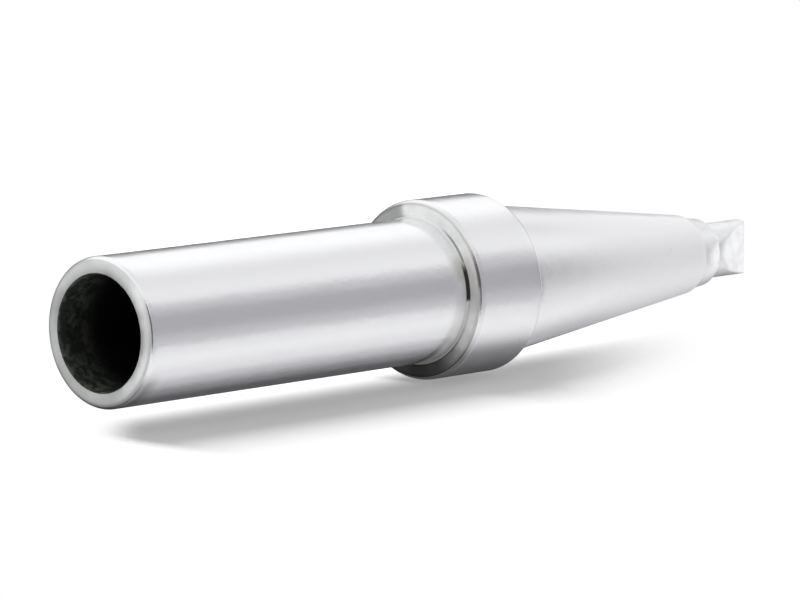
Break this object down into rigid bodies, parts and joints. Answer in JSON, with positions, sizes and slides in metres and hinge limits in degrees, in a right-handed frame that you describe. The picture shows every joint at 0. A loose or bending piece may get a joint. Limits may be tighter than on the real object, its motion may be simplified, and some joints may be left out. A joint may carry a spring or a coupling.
{
  "type": "chisel soldering tip",
  "caption": "Hollow-shank soldering iron tip with a collar, a tapered plated body and a tinned chisel end.",
  "frame": {"origin": "centre of the flat open rear end, which the tip stands on", "axes": "+Z along the axis to the chisel edge, the edge along Y, the two flats facing +X and -X"},
  "size_m": [0.0082, 0.0082, 0.0421],
  "materials": {
    "plated_copper": "polished plating on copper, bright tin at the chisel end"
  },
  "bodies": {
    "root": {"soldering_tip": "plated_copper"}
  },
  "joints": []
}
